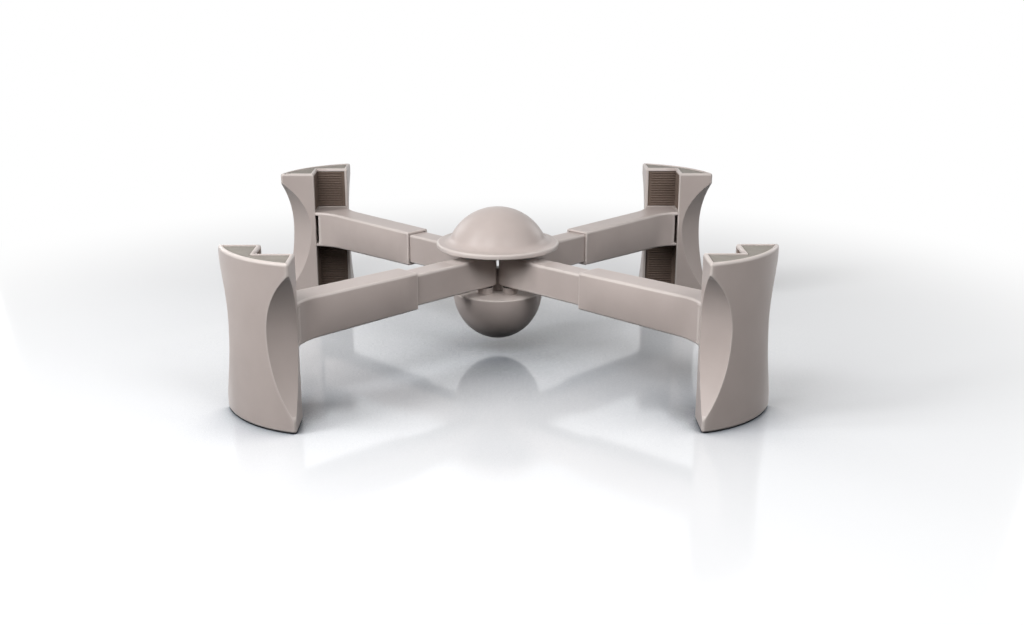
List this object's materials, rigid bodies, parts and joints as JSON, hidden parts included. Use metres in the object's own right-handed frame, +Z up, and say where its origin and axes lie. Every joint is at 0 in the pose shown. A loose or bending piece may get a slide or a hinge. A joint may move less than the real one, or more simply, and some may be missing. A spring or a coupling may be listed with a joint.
{
  "type": "chair booster",
  "caption": "Chair booster with notched leg columns on sprung telescopic arms that swivel on a domed hub; each notch seats one chair leg.",
  "frame": {"origin": "on the floor, under the middle of the hub", "axes": "+Z up, +X to the right and +Y away from the viewer, arms along the diagonals"},
  "size_m": [0.4732, 0.4732, 0.145],
  "materials": {
    "shell": "fine satin moulded",
    "grip": "matte ribbed",
    "pad": "matte",
    "steel": "zinc plated",
    "acetal": "smooth"
  },
  "bodies": {
    "hub": {"hub_dome": "shell", "upper_plate": "shell", "lower_plate": "shell", "hub_bowl": "shell", "pivot_bolts": "steel", "pivot_nuts": "steel", "pivot_tubes": "steel", "upper_spacers": "shell", "lower_spacers": "shell", "thrust_washers": "acetal"},
    "arm_back_right": {"inner_arm_back_right": "shell", "glide_bush_back_right": "acetal", "arm_pin_back_right": "steel", "spring_back_right": "steel"},
    "leg_back_right": {"sleeve_back_right": "shell", "leg_pin_back_right": "steel", "leg_back_right": "shell", "leg_screws_back_right": "steel", "grip_upper_back_right": "grip", "grip_lower_back_right": "grip", "top_pad_back_right": "pad", "foot_pad_back_right": "pad"},
    "arm_back_left": {"inner_arm_back_left": "shell", "glide_bush_back_left": "acetal", "arm_pin_back_left": "steel", "spring_back_left": "steel"},
    "leg_back_left": {"sleeve_back_left": "shell", "leg_pin_back_left": "steel", "leg_back_left": "shell", "leg_screws_back_left": "steel", "grip_upper_back_left": "grip", "grip_lower_back_left": "grip", "top_pad_back_left": "pad", "foot_pad_back_left": "pad"},
    "arm_front_left": {"inner_arm_front_left": "shell", "glide_bush_front_left": "acetal", "arm_pin_front_left": "steel", "spring_front_left": "steel"},
    "leg_front_left": {"sleeve_front_left": "shell", "leg_pin_front_left": "steel", "leg_front_left": "shell", "leg_screws_front_left": "steel", "grip_upper_front_left": "grip", "grip_lower_front_left": "grip", "top_pad_front_left": "pad", "foot_pad_front_left": "pad"},
    "arm_front_right": {"inner_arm_front_right": "shell", "glide_bush_front_right": "acetal", "arm_pin_front_right": "steel", "spring_front_right": "steel"},
    "leg_front_right": {"sleeve_front_right": "shell", "leg_pin_front_right": "steel", "leg_front_right": "shell", "leg_screws_front_right": "steel", "grip_upper_front_right": "grip", "grip_lower_front_right": "grip", "top_pad_front_right": "pad", "foot_pad_front_right": "pad"}
  },
  "joints": [
    {"name": "swivel_back_right", "type": "hinge", "parent": "hub", "child": "arm_back_right", "pos_m": [0.01225, 0.01225, 0.083], "axis": [0, 0, 1], "range_deg": [-15, 15]},
    {"name": "extend_back_right", "type": "slide", "parent": "arm_back_right", "child": "leg_back_right", "axis": [0.7071, 0.7071, 0], "range_m": [0, 0.075], "stiffness_N_per_m": 250, "springref_m": -0.05, "deforming": ["spring_back_right"]},
    {"name": "swivel_back_left", "type": "hinge", "parent": "hub", "child": "arm_back_left", "pos_m": [-0.01225, 0.01225, 0.083], "axis": [0, 0, 1], "range_deg": [-15, 15]},
    {"name": "extend_back_left", "type": "slide", "parent": "arm_back_left", "child": "leg_back_left", "axis": [-0.7071, 0.7071, 0], "range_m": [0, 0.075], "stiffness_N_per_m": 250, "springref_m": -0.05, "deforming": ["spring_back_left"]},
    {"name": "swivel_front_left", "type": "hinge", "parent": "hub", "child": "arm_front_left", "pos_m": [-0.01225, -0.01225, 0.083], "axis": [0, 0, 1], "range_deg": [-15, 15]},
    {"name": "extend_front_left", "type": "slide", "parent": "arm_front_left", "child": "leg_front_left", "axis": [-0.7071, -0.7071, 0], "range_m": [0, 0.075], "stiffness_N_per_m": 250, "springref_m": -0.05, "deforming": ["spring_front_left"]},
    {"name": "swivel_front_right", "type": "hinge", "parent": "hub", "child": "arm_front_right", "pos_m": [0.01225, -0.01225, 0.083], "axis": [0, 0, 1], "range_deg": [-15, 15]},
    {"name": "extend_front_right", "type": "slide", "parent": "arm_front_right", "child": "leg_front_right", "axis": [0.7071, -0.7071, 0], "range_m": [0, 0.075], "stiffness_N_per_m": 250, "springref_m": -0.05, "deforming": ["spring_front_right"]}
  ]
}
